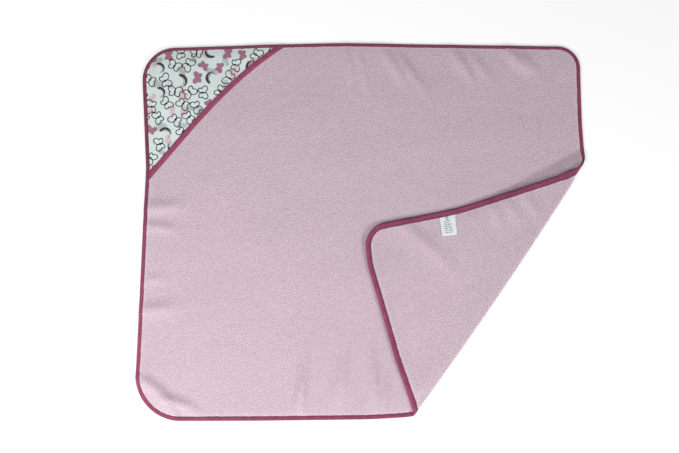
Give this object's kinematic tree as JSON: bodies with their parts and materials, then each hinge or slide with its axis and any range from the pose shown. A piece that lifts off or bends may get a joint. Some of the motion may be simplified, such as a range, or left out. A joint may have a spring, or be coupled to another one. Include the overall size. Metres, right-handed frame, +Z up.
{
  "type": "hooded baby towel",
  "caption": "Terry baby towel bound in bias tape, with a printed, lined hood across one corner, the opposite corner folded over and a care label on its reverse.",
  "frame": {"origin": "centre of the towel's outline, on the floor it lies on", "axes": "+X along the hood's top edge, towards the corner without a hood; +Y towards that top edge; +Z up, out of the face the hood is on"},
  "size_m": [0.9, 0.758, 0.0089],
  "materials": {
    "terry": "matte looped terry",
    "tape": "matte woven bias tape",
    "thread": "spun sewing thread",
    "printed_cotton": "printed plain weave cotton",
    "label_satin": "woven satin label"
  },
  "bodies": {
    "towel": {"main_panel": "terry", "edge_binding": "tape", "edge_stitching": "thread", "crease_panel": "terry", "crease_binding_bottom": "tape", "crease_binding_right": "tape"},
    "folded_corner": {"corner_panel": "terry", "corner_binding": "tape", "corner_stitching": "thread"},
    "hood": {"hood_lining": "terry", "hood_cotton": "printed_cotton", "hood_binding": "tape", "hood_stitching": "thread"},
    "label": {"care_label": "label_satin", "label_stitching": "thread"}
  },
  "joints": [
    {"name": "corner_fold", "type": "hinge", "parent": "towel", "child": "folded_corner", "pos_m": [0.27352, -0.1242, 0.0071], "axis": [0.5726, 0.8198, 0.0025], "range_deg": [0, 179.8], "deforming": ["crease_panel", "crease_binding_bottom", "crease_binding_right"]},
    {"name": "hood_open", "type": "hinge", "parent": "towel", "child": "hood", "pos_m": [-0.45, 0.379, 0.0033], "axis": [-0.7071, -0.7071, 0], "range_deg": [0, 22]},
    {"name": "label_flip", "type": "hinge", "parent": "folded_corner", "child": "label", "pos_m": [0.1765, 0.0265, 0.0103], "axis": [-0.9781, -0.2079, 0], "range_deg": [0, 165]}
  ]
}
